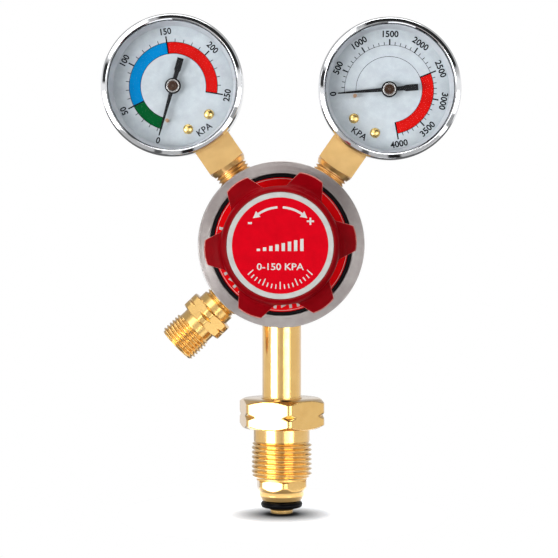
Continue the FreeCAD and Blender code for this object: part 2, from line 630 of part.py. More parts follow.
def make_gauge(prefix, lean, dial_turn, distance):
    on_stem = {
        "case": make_case(),
        "bezel": make_bezel(),
        "lens": disc(LENS_RADIUS, LENS_BACK, LENS_FRONT),
        "spacer_ring": make_spacer_ring(),
        "socket": make_socket(dial_turn - lean),
    }
    on_dial = {
        "dial": make_dial(),
        "dial_screws": make_dial_screws(),
        "stop_pin": make_stop_pin(),
        "bourdon_tube": make_bourdon_tube(),
        "movement_frame": make_movement_frame(),
        "pinion_shaft": make_pinion_shaft(),
        "sector_gear": make_sector_gear(),
        "tip_link": make_tip_link(),
        "pointer": make_pointer(),
        "pointer_boss": make_pointer_boss(),
    }
    angle = math.radians(lean)
    centre = Vector(distance * math.sin(angle), 0, CENTRE_HEIGHT + distance * math.cos(angle))
    for part, shape in on_stem.items():
        save(prefix + "_" + part, facing_front(shape, lean, distance))
    for part, shape in on_dial.items():
        placed = facing_front(shape, lean, distance)
        placed.rotate(centre, Vector(0, 1, 0), dial_turn - lean)
        save(prefix + "_" + part, placed)


os.makedirs("parts", exist_ok=True)
make_front_stack()
make_valve_train()
make_adjuster()
make_stem()
make_outlet()
for gauge in GAUGES:
    make_gauge(*gauge)
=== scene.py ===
import json
import math

import bmesh
import bpy
import numpy as np
from mathutils import Matrix, Vector


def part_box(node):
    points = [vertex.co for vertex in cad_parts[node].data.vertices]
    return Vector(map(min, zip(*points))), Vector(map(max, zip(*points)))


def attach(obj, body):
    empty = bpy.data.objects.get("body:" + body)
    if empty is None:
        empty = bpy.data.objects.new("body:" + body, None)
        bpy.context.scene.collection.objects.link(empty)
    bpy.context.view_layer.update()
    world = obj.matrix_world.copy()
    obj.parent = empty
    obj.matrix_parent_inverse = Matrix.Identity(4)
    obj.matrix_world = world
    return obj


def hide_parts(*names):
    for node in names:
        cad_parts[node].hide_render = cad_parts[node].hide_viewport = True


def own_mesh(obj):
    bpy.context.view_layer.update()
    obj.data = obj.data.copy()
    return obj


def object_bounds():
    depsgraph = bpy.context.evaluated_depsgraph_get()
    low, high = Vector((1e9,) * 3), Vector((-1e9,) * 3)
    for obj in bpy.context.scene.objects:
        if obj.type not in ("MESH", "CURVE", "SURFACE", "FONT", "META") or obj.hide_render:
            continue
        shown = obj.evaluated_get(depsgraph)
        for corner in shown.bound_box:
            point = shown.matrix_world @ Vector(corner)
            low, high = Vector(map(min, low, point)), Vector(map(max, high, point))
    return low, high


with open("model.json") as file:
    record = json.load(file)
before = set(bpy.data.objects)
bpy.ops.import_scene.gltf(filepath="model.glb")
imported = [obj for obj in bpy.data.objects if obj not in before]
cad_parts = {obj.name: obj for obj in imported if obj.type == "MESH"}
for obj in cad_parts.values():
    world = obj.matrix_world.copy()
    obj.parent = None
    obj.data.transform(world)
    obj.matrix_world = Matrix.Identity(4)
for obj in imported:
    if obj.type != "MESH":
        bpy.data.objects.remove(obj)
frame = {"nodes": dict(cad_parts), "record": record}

cad_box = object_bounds()

MM = 0.001
SHARP_ANGLE = math.radians(40)
MOUNTS = {mount["name"]: mount for mount in frame["record"]["mounts"]}


# ---- places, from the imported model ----

def middle(node):
    low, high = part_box(node)
    return (low + high) / 2


KNOB_HEIGHT = middle("bonnet_ring").z
GAUGE_CENTRES = {prefix: middle(prefix + "_lens") for prefix in ("low", "high")}
STOP_PIN_ANGLE = 225.0          # on the dial, counter-clockwise from its right
POINTER_REST = 218.7            # the pointer's angle on the dial at rest


def facing(centre, turn=0.0):
    """Frame of a shape drawn facing the viewer (x right, y up, z forward), turned clockwise."""
    spin = Matrix.Rotation(math.radians(turn), 4, "Y")
    return Matrix.Translation(centre) @ spin @ Matrix.Rotation(math.radians(90), 4, "X")


def port(turn):
    """Frame with +Z out along a port, turned clockwise from straight up, and +Y to the back."""
    return Matrix.Translation((0, 0, KNOB_HEIGHT)) @ Matrix.Rotation(math.radians(turn), 4, "Y")


def lean_of(prefix):
    centre = GAUGE_CENTRES[prefix]
    return math.degrees(math.atan2(centre.x, centre.z - KNOB_HEIGHT))


def dial_turn_of(prefix):
    """The dial's turn on the stem, read from where the stop pin stands."""
    pin = middle(prefix + "_stop_pin") - GAUGE_CENTRES[prefix]
    return STOP_PIN_ANGLE - math.degrees(math.atan2(pin.z, pin.x)) % 360


OUTLET_AXIS = MOUNTS["outlet_thread"]["axis"]
OUTLET_TURN = math.degrees(math.atan2(OUTLET_AXIS[0], OUTLET_AXIS[2])) % 360
FRONT = facing((0, 0, KNOB_HEIGHT))
STEM = Matrix.Identity(4)


# ---- mesh building ----

def piece(name, parts, place, material, body, replaces=(), threads=()):
    """One closed mesh from (points in mm, faces) parts, put in its frame and on its body.

    The attribute "local" keeps each point's place in the piece's own frame, in millimetres,
    so that a material can follow the piece's axis. threads lists the spans along z that hold a
    screw thread.
    """
    points = np.concatenate([np.asarray(p, float) for p, _ in parts])
    faces, start = [], 0
    for p, f in parts:
        faces.extend([tuple(i + start for i in face) for face in f])
        start += len(p)
    mesh = bpy.data.meshes.new(name)
    matrix = np.array(place)
    world = points * MM @ matrix[:3, :3].T + matrix[:3, 3]
    mesh.from_pydata(world.tolist(), [], faces)
    local = mesh.attributes.new("local", "FLOAT_VECTOR", "POINT")
    local.data.foreach_set("vector", points.astype(np.float32).ravel())
    obj = bpy.data.objects.new(name, mesh)
    bpy.context.scene.collection.objects.link(obj)
    obj.data.materials.append(material)
    smooth(obj, points[:, 2], threads)
    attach(obj, body)
    if replaces:
        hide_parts(*([replaces] if isinstance(replaces, str) else replaces))
    return obj


def smooth(obj, heights, threads):
    """Smooth shading; edges over SHARP_ANGLE are kept as edges, except inside a thread."""
    work = bmesh.new()
    work.from_mesh(obj.data)
    bmesh.ops.recalc_face_normals(work, faces=work.faces)
    for face in work.faces:
        face.smooth = True
    for edge in work.edges:
        if len(edge.link_faces) != 2:
            continue
        ends = [heights[vertex.index] for vertex in edge.verts]
        if any(low <= min(ends) and max(ends) <= high for low, high in threads):
            continue
        edge.smooth = edge.calc_face_angle(0.0) < SHARP_ANGLE
    work.to_mesh(obj.data)
    work.free()


def rounded(outline, radius=0.3, steps=4, support=0.03):
    """Round the corners of a closed outline of (z, r) or (z, r, corner radius) points."""
    dense = []
    count = len(outline)
    for i in range(count):
        before = np.array(outline[i - 1][:2], float)
        here = np.array(outline[i][:2], float)
        after = np.array(outline[(i + 1) % count][:2], float)
        wanted = outline[i][2] if len(outline[i]) > 2 else radius
        to_before, to_after = before - here, after - here
        len_before, len_after = np.linalg.norm(to_before), np.linalg.norm(to_after)
        on_axis = here[1] < 1e-6
        if on_axis or wanted <= 0 or min(len_before, len_after) < 1e-6:
            dense.append(tuple(here))
            continue
        u, v = to_before / len_before, to_after / len_after
        half = math.acos(max(-1.0, min(1.0, float(u @ v)))) / 2
        if half > math.radians(88):
            dense.append(tuple(here))
            continue
        cut = min(wanted / math.tan(half), 0.46 * len_before, 0.46 * len_after)
        arc = cut * math.tan(half)
        centre = here + (u + v) / np.linalg.norm(u + v) * (arc / math.sin(half))
        first, last = here + u * cut, here + v * cut
        edge = min(support, 0.04 * len_before)
        dense.append(tuple(first + u * edge))
        a, b = first - centre, last - centre
        sweep = math.acos(max(-1.0, min(1.0, float(a @ b) / (arc * arc))))
        for k in range(steps + 1):
            t = k / steps
            spot = math.sin((1 - t) * sweep) * a + math.sin(t * sweep) * b
            dense.append(tuple(centre + spot / max(math.sin(sweep), 1e-9)))
        edge = min(support, 0.04 * len_after)
        dense.append(tuple(last + v * edge))
    return dense


def angles(count):
    return np.arange(count) * 2 * math.pi / count


THREAD_SAMPLES = 16             # rows to a pitch
THREAD_STEP = 12                # columns in which the thread climbs by one row
THREAD_DEPTH = 0.62             # of the pitch
ROOT_WIDTH, FLANK_WIDTH = 0.10, 0.74    # of half the pitch
FLANK_CURVE = 0.35              # share of the flank that is rounded at root and crest
CHAMFER_LENGTH, CHAMFER_GAIN = 1.1, 1.15
CAP_HEIGHT = 0.70               # of the font's size


def rings(rows, theta, slants=()):
    """Closed surface through rows of (z, r), where r is a number or one radius for each angle.

    slants lists (first row, last row, hand): there, every THREAD_STEP columns, the quads are split
    along the diagonal that follows the thread.
    """
    points, faces, index = [], [], []
    for z, r in rows:
        r = np.broadcast_to(np.asarray(r, float), theta.shape)
        start = len(points)
        if r.max() < 1e-6:
            points.append((0.0, 0.0, float(np.mean(z))))
            index.append([start] * len(theta))
            continue
        zs = np.broadcast_to(np.asarray(z, float), theta.shape)
        points.extend(zip(r * np.cos(theta), r * np.sin(theta), zs))
        index.append(list(range(start, start + len(theta))))
    count = len(theta)
    for row in range(len(index)):
        here, after = index[row], index[(row + 1) % len(index)]
        hand = next((hand for first, last, hand in slants if first <= row < last), 0)
        for k in range(count):
            n = (k + 1) % count
            if hand and n % THREAD_STEP == 0:
                faces.append([here[k], here[n], after[n] if hand > 0 else after[k]])
                faces.append([after[n], after[k], here[k] if hand > 0 else here[n]])
                continue
            corner = [here[k], here[n], after[n], after[k]]
            face = list(dict.fromkeys(corner))
            if len(face) > 2:
                faces.append(face)
    return points, faces


def lathe(outline, count=128, radius=0.3, steps=4):
    return rings(rounded(outline, radius, steps), angles(count))


def solid_prism(outline, low, high):
    """Closed prism on a counter-clockwise outline of (x, y) points."""
    n = len(outline)
    points = [(x, y, low) for x, y in outline] + [(x, y, high) for x, y in outline]
    faces = [[k, (k + 1) % n, n + (k + 1) % n, n + k] for k in range(n)]
    faces.append(list(range(n - 1, -1, -1)))
    faces.append(list(range(n, 2 * n)))
    return points, faces


def arc_band(inner, outer, start, end, low, high, step=2.0):
    """Flat closed band between two radii and two angles in degrees."""
    count = max(2, int(abs(end - start) / step) + 1)
    turn = np.radians(np.linspace(start, end, count))
    ring_points = [[(r * math.cos(a), r * math.sin(a), z) for a in turn]
                   for r, z in ((inner, low), (outer, low), (outer, high), (inner, high))]
    points = [p for row in ring_points for p in row]
    faces = []
    for row in range(4):
        base, following = row * count, ((row + 1) % 4) * count
        for k in range(count - 1):
            faces.append([base + k, base + k + 1, following + k + 1, following + k])
    faces.append([0, count, 2 * count, 3 * count])
    faces.append([4 * count - 1, 3 * count - 1, 2 * count - 1, count - 1])
    return points, faces


def moved(part, turn=0.0, shift=(0.0, 0.0, 0.0)):
    """A part turned counter-clockwise about z, in degrees, and then shifted."""
    a = math.radians(turn)
    points = np.asarray(part[0], float)
    x = points[:, 0] * math.cos(a) - points[:, 1] * math.sin(a)
    y = points[:, 0] * math.sin(a) + points[:, 1] * math.cos(a)
    return np.stack([x, y, points[:, 2]], 1) + np.array(shift), part[1]


def letters(text, size, low, high, bold=0.0, squeeze=1.0):
    """Closed solid lettering of the given capital height, centred on the origin."""
    curve = bpy.data.curves.new("lettering", "FONT")
    curve.body = text
    curve.size = size / CAP_HEIGHT
    curve.align_x = "CENTER"
    curve.align_y = "CENTER"
    curve.extrude = (high - low) / 2
    curve.offset = bold
    curve.resolution_u = 3
    obj = bpy.data.objects.new("lettering", curve)
    bpy.context.scene.collection.objects.link(obj)
    graph = bpy.context.evaluated_depsgraph_get()
    mesh = bpy.data.meshes.new_from_object(obj.evaluated_get(graph))
    points = np.array([v.co for v in mesh.vertices], float)
    points[:, 0] *= squeeze
    points[:, 2] += (low + high) / 2
    faces = [list(p.vertices) for p in mesh.polygons]
    bpy.data.objects.remove(obj)
    bpy.data.curves.remove(curve)
    bpy.data.meshes.remove(mesh)
    return points, faces


def polar(radius, degrees):
    return radius * math.cos(math.radians(degrees)), radius * math.sin(math.radians(degrees))


# ---- hexagons and threads as radii over angle and height ----

def corner_angles(corner_turn, count=192):
    """Even angles round a hexagonal piece, with one on every corner."""
    return math.radians(corner_turn) + angles(count)


def hex_radius(theta, flats, corner_turn, stock):
    """Radius of a hexagon cut from a round bar, which leaves its corners turned."""
    offset = (np.degrees(theta) - corner_turn + 30) % 60 - 30
    from_flat = np.radians(30 - np.abs(offset))
    return soft_min(flats / 2 / np.cos(from_flat), np.full_like(theta, stock), 0.12)


def thread_radius(turns, z, crest, pitch):
    """Radius of a helical thread at a height above its start; turns is negative for a left hand."""
    phase = (z / pitch - turns) % 1.0
    ridge = np.abs(phase - 0.5) * 2
    lift = np.clip((ridge - ROOT_WIDTH) / FLANK_WIDTH, 0, 1)
    lift = lift * lift * (3 - 2 * lift) * FLANK_CURVE + lift * (1 - FLANK_CURVE)
    return crest - THREAD_DEPTH * pitch * (1 - lift)


# ---- materials ----

def new_material(name):
    material = bpy.data.materials.new(name)
    material.use_nodes = True
    shader = material.node_tree.nodes["Principled BSDF"]
    return material, material.node_tree, shader


def add(tree, kind, **values):
    node = tree.nodes.new(kind)
    for key, value in values.items():
        setattr(node, key, value)
    return node


def settle(node, **values):
    """Set inputs by name; an underscore stands for a space."""
    for key, value in values.items():
        node.inputs[key.replace("_", " ")].default_value = value


def feed(shader, name, socket):
    shader.id_data.links.new(socket, shader.inputs[name])


def local_coordinates(tree):
    """The piece's own frame in millimetres."""
    return add(tree, "ShaderNodeAttribute", attribute_name="local").outputs["Vector"]


def object_coordinates(tree):
    """The row's frame in millimetres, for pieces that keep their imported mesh."""
    coordinates = add(tree, "ShaderNodeTexCoord").outputs["Object"]
    scale = add(tree, "ShaderNodeVectorMath", operation="SCALE")
    settle(scale, Scale=1000)
    tree.links.new(coordinates, scale.inputs[0])
    return scale.outputs[0]


def scaled(tree, vector, factors):
    node = add(tree, "ShaderNodeVectorMath", operation="MULTIPLY")
    node.inputs[1].default_value = factors
    tree.links.new(vector, node.inputs[0])
    return node.outputs[0]


def noise(tree, vector, scale, detail=3.0, roughness=0.55):
    node = add(tree, "ShaderNodeTexNoise")
    settle(node, Scale=scale, Detail=detail, Roughness=roughness)
    tree.links.new(vector, node.inputs["Vector"])
    return node.outputs["Fac"]


def between(tree, value, low, high, start=0.3, end=0.7):
    """Colour from low to high as a noise goes from start to end; a plain number is a grey."""
    node = add(tree, "ShaderNodeValToRGB")
    stops = zip(node.color_ramp.elements, (start, end), (low, high))
    for element, position, colour in stops:
        element.position = position
        element.color = (*(colour if isinstance(colour, tuple) else (colour,) * 3), 1)
    tree.links.new(value, node.inputs["Fac"])
    return node.outputs["Color"]


def bump(tree, shader, height, strength, distance=0.0001):
    node = add(tree, "ShaderNodeBump")
    settle(node, Strength=strength, Distance=distance)
    tree.links.new(height, node.inputs["Height"])
    feed(shader, "Normal", node.outputs["Normal"])


def from_axis(tree, vector):
    """Distance from the piece's own axis."""
    length = add(tree, "ShaderNodeVectorMath", operation="LENGTH")
    tree.links.new(scaled(tree, vector, (1, 1, 0)), length.inputs[0])
    return length.outputs["Value"]


def blended(tree, factor, base, over):
    """The colour over laid on the base by a factor."""
    mix = add(tree, "ShaderNodeMix", data_type="RGBA")
    settle(mix, B=(*over, 1))
    tree.links.new(factor, mix.inputs["Factor"])
    tree.links.new(base, mix.inputs["A"])
    return mix.outputs["Result"]


def band(tree, value, low, high, soft):
    """1 between low and high, falling to 0 over soft on each side."""
    rise = add(tree, "ShaderNodeMapRange", interpolation_type="SMOOTHSTEP")
    settle(rise, From_Min=low - soft, From_Max=low)
    tree.links.new(value, rise.inputs["Value"])
    fall = add(tree, "ShaderNodeMapRange", interpolation_type="SMOOTHSTEP")
    settle(fall, From_Min=high, From_Max=high + soft, To_Min=1.0, To_Max=0.0)
    tree.links.new(value, fall.inputs["Value"])
    both = add(tree, "ShaderNodeMath", operation="MULTIPLY")
    tree.links.new(rise.outputs["Result"], both.inputs[0])
    tree.links.new(fall.outputs["Result"], both.inputs[1])
    return both.outputs[0]


def turned_metal(name, dark, light, roughness, line_scale=9.0, line_strength=0.12,
                 coordinates=local_coordinates, lacquer=0.0):
    """Turned metal: colour clouds, fine tool lines along the axis, and roughness in patches."""
    material, tree, shader = new_material(name)
    vector = coordinates(tree)
    clouds = noise(tree, vector, 0.22, 4.0)
    feed(shader, "Base Color", between(tree, clouds, dark, light))
    patches = noise(tree, vector, 0.6, 5.0, 0.65)
    feed(shader, "Roughness", between(tree, patches, *roughness))
    lines = noise(tree, scaled(tree, vector, (0.05, 0.05, line_scale)), 1.0, 4.0, 0.7)
    bump(tree, shader, lines, line_strength)
    settle(shader, Metallic=1.0, Coat_Weight=lacquer, Coat_Roughness=0.28, Coat_IOR=1.6)
    return material


def plain_surface(name, colour, roughness, grain_scale, strength,
                  coordinates=local_coordinates, metallic=1.0, ior=1.5):
    """Cast, plated, painted or printed surface: faint mottling and a fine grain."""
    material, tree, shader = new_material(name)
    vector = coordinates(tree)
    clouds = noise(tree, vector, 0.3, 4.0)
    shade = tuple(0.86 * c for c in colour)
    feed(shader, "Base Color", between(tree, clouds, shade, colour))
    patches = noise(tree, vector, 0.8, 5.0, 0.6)
    feed(shader, "Roughness", between(tree, patches, *roughness))
    bump(tree, shader, noise(tree, vector, grain_scale, 5.0, 0.6), strength)
    settle(shader, Metallic=metallic, IOR=ior)
    return material


def coated(name, colour, roughness, grain_scale, strength, ior=1.5, coordinates=local_coordinates):
    """Paint, ink, plastic or rubber: a plain surface that isn't metal."""
    return plain_surface(name, colour, roughness, grain_scale, strength, coordinates, 0.0, ior)


BRASS = turned_metal(
    "brass_turned", (0.78, 0.46, 0.12), (0.84, 0.52, 0.15), (0.10, 0.17), lacquer=1.0)
BRASS_OUTLET = turned_metal(
    "brass_outlet", (0.78, 0.47, 0.13), (0.84, 0.53, 0.16), (0.20, 0.28), lacquer=0.8)
BRASS_SATIN = turned_metal(
    "brass_milled", (0.76, 0.45, 0.13), (0.82, 0.50, 0.16), (0.28, 0.38), 4.0, 0.08)
BRASS_SOCKET = turned_metal(
    "brass_socket", (0.78, 0.48, 0.16), (0.86, 0.55, 0.20), (0.28, 0.40), 2.0, 0.08,
    object_coordinates, 0.8)
BRASS_BODY = plain_surface(
    "brass_body", (0.80, 0.50, 0.17), (0.38, 0.55), 1.6, 0.45, object_coordinates)
BRASS_INNER = turned_metal(
    "brass_inner", (0.74, 0.43, 0.12), (0.82, 0.50, 0.15), (0.22, 0.36), 6.0, 0.10,
    object_coordinates)
BRASS_SCREW = plain_surface("brass_screw", (0.86, 0.60, 0.22), (0.22, 0.32), 3.0, 0.1)
PIN_BROWN = plain_surface(
    "pin_brown", (0.36, 0.22, 0.14), (0.35, 0.45), 3.0, 0.1, object_coordinates)
CHROME_CASE = plain_surface(
    "chrome_case", (0.88, 0.89, 0.91), (0.05, 0.10), 0.8, 0.03, object_coordinates)
BLACK_ENAMEL = coated("black_enamel", (0.005, 0.005, 0.006), (0.30, 0.45), 2.5, 0.15, 1.16)
BLACK_RUBBER = coated("black_rubber", (0.003, 0.003, 0.004), (0.16, 0.24), 2.0, 0.05, 1.18)
POINTER_BLACK = coated("pointer_black", (0.006, 0.006, 0.007), (0.45, 0.55), 4.0, 0.05, 1.2)
GREY_RING = coated("grey_ring", (0.40, 0.42, 0.45), (0.30, 0.42), 2.0, 0.05, 1.2)
DIAL_WHITE = coated("dial_white", (0.355, 0.386, 0.410), (0.40, 0.52), 3.0, 0.02, 1.1)
INK_BLACK = coated("ink_black", (0.006, 0.006, 0.008), (0.50, 0.60), 4.0, 0.02, 1.08)
INK_RED = coated("ink_red", (0.40, 0.005, 0.004), (0.45, 0.55), 4.0, 0.02, 1.08)
INK_GREEN = coated("ink_green", (0.0005, 0.062, 0.014), (0.45, 0.55), 4.0, 0.02, 1.08)
INK_BLUE = coated("ink_blue", (0.0005, 0.145, 0.360), (0.45, 0.55), 4.0, 0.02, 1.08)
PRINT_WHITE = coated("print_white", (0.58, 0.57, 0.55), (0.35, 0.45), 4.0, 0.02, 1.2)
LABEL_RED = coated("label_red", (0.82, 0.001, 0.004), (0.28, 0.36), 2.0, 0.03, 1.1)
BADGE_RED = coated("badge_red", (0.56, 0.0006, 0.008), (0.28, 0.36), 2.0, 0.03, 1.1)
BADGE_SILVER = coated("badge_silver", (0.47, 0.48, 0.46), (0.30, 0.40), 2.0, 0.05, 1.2)
HUB_SILVER = plain_surface("hub_silver", (0.62, 0.60, 0.58), (0.20, 0.30), 2.0, 0.05)
HUB_BRONZE = plain_surface("hub_bronze", (0.045, 0.026, 0.019), (0.45, 0.60), 3.0, 0.3)
STEEL = turned_metal(
    "steel", (0.48, 0.48, 0.49), (0.60, 0.60, 0.61), (0.22, 0.36), 6.0, 0.10, object_coordinates)
SPINDLE_STEEL = plain_surface(
    "spindle_steel", (0.07, 0.05, 0.04), (0.45, 0.60), 3.0, 0.2, object_coordinates)
BRONZE = plain_surface("bronze", (0.50, 0.30, 0.13), (0.40, 0.60), 6.0, 0.5, object_coordinates)
RUBBER_INNER = coated(
    "rubber_inner", (0.015, 0.015, 0.015), (0.5, 0.6), 3.0, 0.1, coordinates=object_coordinates)
SEAT_PLASTIC = coated(
    "seat_plastic", (0.80, 0.79, 0.75), (0.4, 0.5), 3.0, 0.05, coordinates=object_coordinates)


def make_ring_steel():
    """Faced steel: fine rings round the axis spread the light outward and inward."""
    material, tree, shader = new_material("ring_faced")
    vector = local_coordinates(tree)
    tool_rings = add(tree, "ShaderNodeTexNoise", noise_dimensions="1D")
    settle(tool_rings, Scale=9.0, Detail=3.0)
    tree.links.new(from_axis(tree, vector), tool_rings.inputs["W"])
    clouds = noise(tree, vector, 0.25, 4.0)
    colour = between(tree, clouds, (0.33, 0.305, 0.295), (0.40, 0.375, 0.365))
    feed(shader, "Base Color", colour)
    patches = noise(tree, vector, 0.7, 5.0, 0.6)
    feed(shader, "Roughness", between(tree, patches, 0.30, 0.38))
    bump(tree, shader, tool_rings.outputs["Fac"], 1.0, 0.00006)
    settle(shader, Metallic=1.0)
    return material


SHADE_LINE_RADIUS, SHADE_LINE_FADE = 24.12, 0.12      # painted shade line on the bezel's inner lip, in mm


def make_bezel_chrome():
    """Polished chrome, coloured near black on the inner lip where the lens sits: a painted shade
    line.
    """
    material, tree, shader = new_material("bezel_chrome")
    vector = local_coordinates(tree)
    # painted shade: inside this radius the chrome's colour is made near black
    lip = band(tree, from_axis(tree, vector), 0.0, SHADE_LINE_RADIUS, SHADE_LINE_FADE)
    clouds = noise(tree, vector, 0.3, 4.0)
    bright = between(tree, clouds, (0.84, 0.85, 0.87), (0.90, 0.91, 0.93))
    feed(shader, "Base Color", blended(tree, lip, bright, (0.10, 0.10, 0.11)))
    patches = noise(tree, vector, 0.8, 5.0, 0.6)
    feed(shader, "Roughness", between(tree, patches, 0.03, 0.06))
    bump(tree, shader, noise(tree, vector, 0.8, 5.0, 0.6), 0.02)
    settle(shader, Metallic=1.0)
    return material


def make_knob_plastic():
    """Dark red moulded plastic, a little scuffed, and paler along the outline's rims: partly rubbed
    plastic, partly a painted highlight.
    """
    material, tree, shader = new_material("knob_plastic")
    vector = local_coordinates(tree)
    clouds = noise(tree, vector, 0.18, 4.0)
    body = between(tree, clouds, (0.160, 0.0003, 0.0022), (0.215, 0.0006, 0.0036))
    # amount of paler rim colour per point: partly rubbed plastic, partly a painted highlight on the
    # rounded rim
    worn_and_lit = add(tree, "ShaderNodeAttribute", attribute_name="wear_and_sheen").outputs["Fac"]
    scratches = noise(tree, vector, 1.3, 6.0, 0.7)
    amount = add(tree, "ShaderNodeMath", operation="MULTIPLY")
    tree.links.new(worn_and_lit, amount.inputs[0])
    tree.links.new(between(tree, scratches, 0.15, 1.0, 0.30, 0.62), amount.inputs[1])
    colour = blended(tree, amount.outputs[0], body, (0.62, 0.20, 0.17))
    feed(shader, "Base Color", colour)
    feed(shader, "Roughness", between(tree, scratches, 0.30, 0.42))
    bump(tree, shader, noise(tree, vector, 2.2, 5.0, 0.6), 0.12)
    settle(shader, IOR=1.09)
    return material


def make_lens_glass():
    material, tree, shader = new_material("lens_glass")
    vector = local_coordinates(tree)
    settle(shader, Transmission_Weight=1.0, IOR=1.07)
    tint = between(tree, noise(tree, vector, 0.1, 2.0), (0.97, 0.99, 1.0), (1.0, 1.0, 1.0))
    feed(shader, "Base Color", tint)
    settle(shader, Roughness=0.0)
    return material


RING_STEEL = make_ring_steel()
BEZEL_CHROME = make_bezel_chrome()
KNOB_PLASTIC = make_knob_plastic()
LENS_GLASS = make_lens_glass()


# ---- bonnet, ring and label ----

def make_ring():
    low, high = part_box("bonnet_ring")
    outer = (high.x - low.x) / 2 / MM
    front, back = -low.y / MM, -high.y / MM
    inner, seat, lip = 26.4, 28.5, front - 1.5
    outline = [
        (back, seat), (back, outer), (front, outer, 0.35), (front, inner, 0.25), (lip, inner, 0.1),
        (lip, seat, 0.1),
    ]
    ring = lathe(outline, 192)
    piece("ring_satin", [ring], FRONT, RING_STEEL, "regulator", "bonnet_ring")


def make_bonnet():
    outline = [
        (14.4, 13.5, 0.1), (14.4, 28.4, 0.1), (15.5, 28.4, 0.1), (15.5, 26.3, 0.1),
        (16.8, 26.3, 0.25), (16.8, 25.1, 0.2), (16.2, 25.05, 0.1), (16.2, 16.5, 0.5),
        (38.5, 16.5, 1.0), (38.5, 5.0, 0.3), (33.5, 5.0, 0.3), (33.5, 13.5, 0.5),
    ]
    bonnet = lathe(outline, 160)
    piece("bonnet_black", [bonnet], FRONT, BLACK_ENAMEL, "regulator", "bonnet")


def make_label():
    """Red ring under the knob with a thin white line and generic turn marks."""
    bed, top, print_top = 16.2, 16.5, 16.54
    outline = [(bed, 16.5, 0.05), (bed, 25.0, 0.05), (top, 25.0, 0.08), (top, 16.5, 0.05)]
    label = lathe(outline, 160)
    piece("label_red", [label], FRONT, LABEL_RED, "regulator", "bonnet_label")
    marks = [arc_band(24.45, 24.6, 0, 358, top, print_top)]
    first, step, arrow_every = 165, 7.1, 4
    for k in range(20):
        at = first + step * k
        if k % arrow_every == arrow_every - 1:
            marks.append(moved(arrow_head(1.3, top, print_top), at + 90, (*polar(22.6, at), 0)))
        else:
            marks.append(arc_band(21.0, 23.9, at - 1.3, at + 1.3, top, print_top, 1.0))
    piece("label_marks", marks, FRONT, PRINT_WHITE, "regulator")


def arrow_head(size, low, high):
    """Triangle that points along its own +x."""
    back, half = -0.5 * size, 0.8 * size
    return solid_prism([(size, 0), (back, half), (back, -half)], low, high)


def make_main_spring():
    """Coil between the diaphragm plate and the spring button, built at one fixed length; the real
    spring shortens as the screw advances.
    """
    low, high = -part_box("main_spring")[1].y / MM, -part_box("main_spring")[0].y / MM
    radius, wire, turns = 10.2, 0.9, 3.5
    sections, around = 168, angles(14)
    points = []
    for t in np.linspace(0, 1, sections + 1):
        turn = 2 * math.pi * turns * t
        height = low + wire + (high - low - 2 * wire) * t
        for a in around:
            reach, rise = radius + wire * math.cos(a), wire * math.sin(a)
            points.append((reach * math.cos(turn), reach * math.sin(turn), height + rise))
    count = len(around)
    faces = []
    for k in range(sections):
        for n in range(count):
            m = (n + 1) % count
            faces.append([k * count + n, k * count + m, (k + 1) * count + m, (k + 1) * count + n])
    faces.append(list(range(count)))
    faces.append(list(range(sections * count + count - 1, sections * count - 1, -1)))
    coil = (points, faces)
    spring = piece("main_spring_coil", [coil], FRONT, STEEL, "regulator", "main_spring")
    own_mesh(spring)


# ---- knob ----

KNOB_FIRST_LOBE = 5.5
KNOB_BACK, KNOB_FRONT, KNOB_ROOF = 27.0, 49.4, 44.5
KNOB_TIP, KNOB_VALLEY = 27.2, 21.15


def knob_edge(theta, grow=0.0):
    """Radius of the lobed outline: straight valley, leaning flanks and a slightly crowned tip."""
    offset = (np.degrees(theta) - KNOB_FIRST_LOBE + 30) % 60 - 30
    side = np.radians(np.abs(offset))
    valley = (KNOB_VALLEY + 0.2 * grow) / np.cos(np.radians(30) - side)
    tip = (KNOB_TIP + 0.2 + grow) * (1 - 0.012 * (np.degrees(side) / 10) ** 2)
    base = np.array(polar(21.5, 18.8))
    crest = np.array(polar(27.0 + grow, 9.8))
    along = crest - base
    normal = np.array([along[1], -along[0]])
    flank = (normal @ base) / (normal[0] * np.cos(side) + normal[1] * np.sin(side))
    flank = np.where(flank > 0, flank, 99.0)
    lobe = soft_min(tip, flank, 0.35)
    return soft_max(valley, np.where(np.degrees(side) < 29.9, lobe, 0.0), 0.35)


def soft_min(a, b, width):
    gap = np.clip((width - np.abs(a - b)) / width, 0, 1)
    return np.minimum(a, b) - width * gap * gap / 4


def soft_max(a, b, width):
    gap = np.clip((width - np.abs(a - b)) / width, 0, 1)
    return np.maximum(a, b) + width * gap * gap / 4


